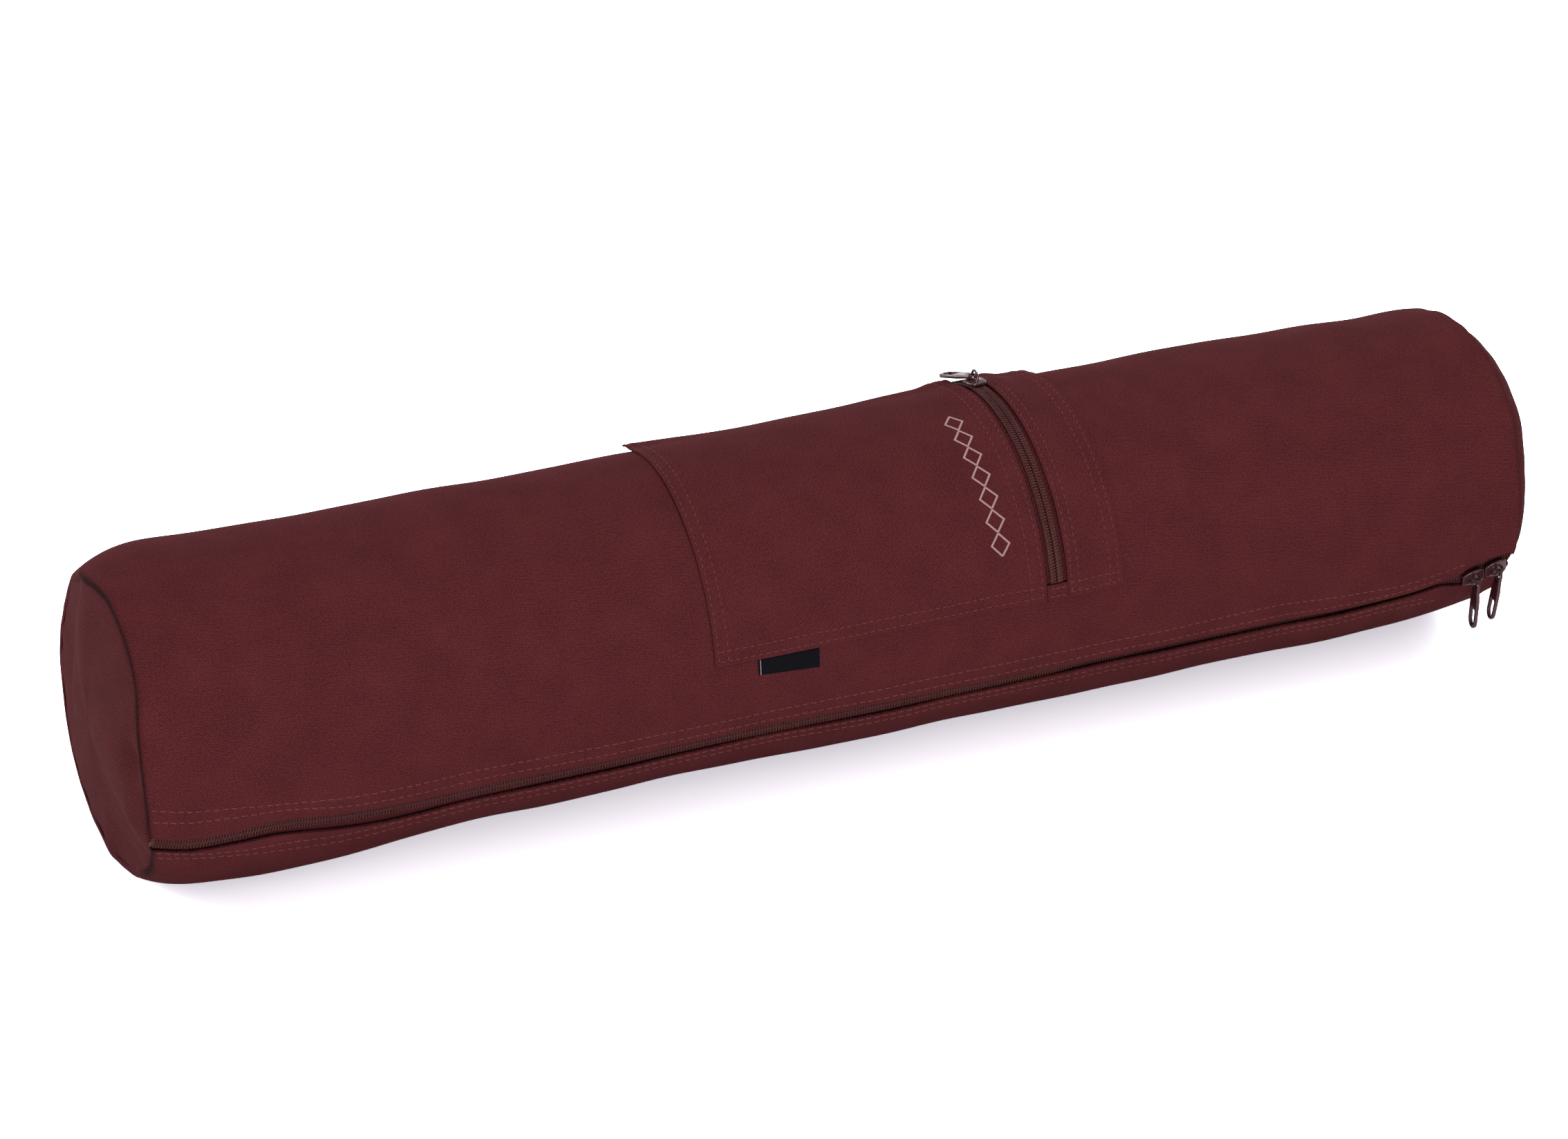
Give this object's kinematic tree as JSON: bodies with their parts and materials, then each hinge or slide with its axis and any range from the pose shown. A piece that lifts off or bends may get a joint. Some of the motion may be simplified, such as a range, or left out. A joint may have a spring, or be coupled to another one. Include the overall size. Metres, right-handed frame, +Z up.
{
  "type": "yoga mat bag",
  "caption": "Long round canvas bag for a rolled exercise mat, with a full-length zip, domed ends and a zipped patch pocket.",
  "frame": {"origin": "on the flat underside that the bag rests on, below the middle of its length", "axes": "+X along the bag towards the end with both zip sliders, -Y the front with the pocket, +Z up"},
  "size_m": [0.6909, 0.1539, 0.1581],
  "materials": {
    "canvas": "burgundy cotton twill canvas, matt",
    "end_canvas": "burgundy cotton twill canvas, matt, cut with its ribs level",
    "pocket_canvas": "burgundy cotton twill canvas, matt, cut with its ribs upright",
    "zip_tape": "woven polyester tape, matt",
    "zip_coil": "nylon coil, half gloss",
    "painted_metal": "plum-brown paint, glossy",
    "woven_label": "black woven tape, matt, bare"
  },
  "bodies": {
    "bag": {"body_panel": "canvas", "end_panel_left": "end_canvas", "end_panel_right": "end_canvas", "zip_tape_upper": "zip_tape", "zip_tape_lower": "zip_tape", "zip_coil_upper": "zip_coil", "zip_coil_lower": "zip_coil", "zip_slider_left": "painted_metal", "zip_slider_right": "painted_metal", "pocket_panel": "pocket_canvas", "pocket_side_strip": "pocket_canvas", "pocket_zip_tape": "zip_tape", "pocket_zip_coil_left": "zip_coil", "pocket_zip_coil_right": "zip_coil", "pocket_zip_end_tab": "pocket_canvas", "pocket_slider": "painted_metal", "hem_label": "woven_label"},
    "left_pull": {"zip_pull_left": "painted_metal"},
    "right_pull": {"zip_pull_right": "painted_metal"},
    "pocket_zip_pull": {"pocket_pull": "painted_metal"}
  },
  "joints": [
    {"name": "left_pull_swing", "type": "hinge", "parent": "bag", "child": "left_pull", "pos_m": [0.31164, -0.07326, 0.04581], "axis": [-0.9848, 0.1701, 0.0344], "range_deg": [-15, 150]},
    {"name": "right_pull_swing", "type": "hinge", "parent": "bag", "child": "right_pull", "pos_m": [0.32289, -0.07421, 0.04893], "axis": [-0.9741, 0.1798, 0.1369], "range_deg": [-12, 150]},
    {"name": "pocket_pull_swing", "type": "hinge", "parent": "bag", "child": "pocket_zip_pull", "pos_m": [0.0908, 0.0186, 0.1546], "axis": [1, 0, 0], "range_deg": [0, 185]}
  ]
}
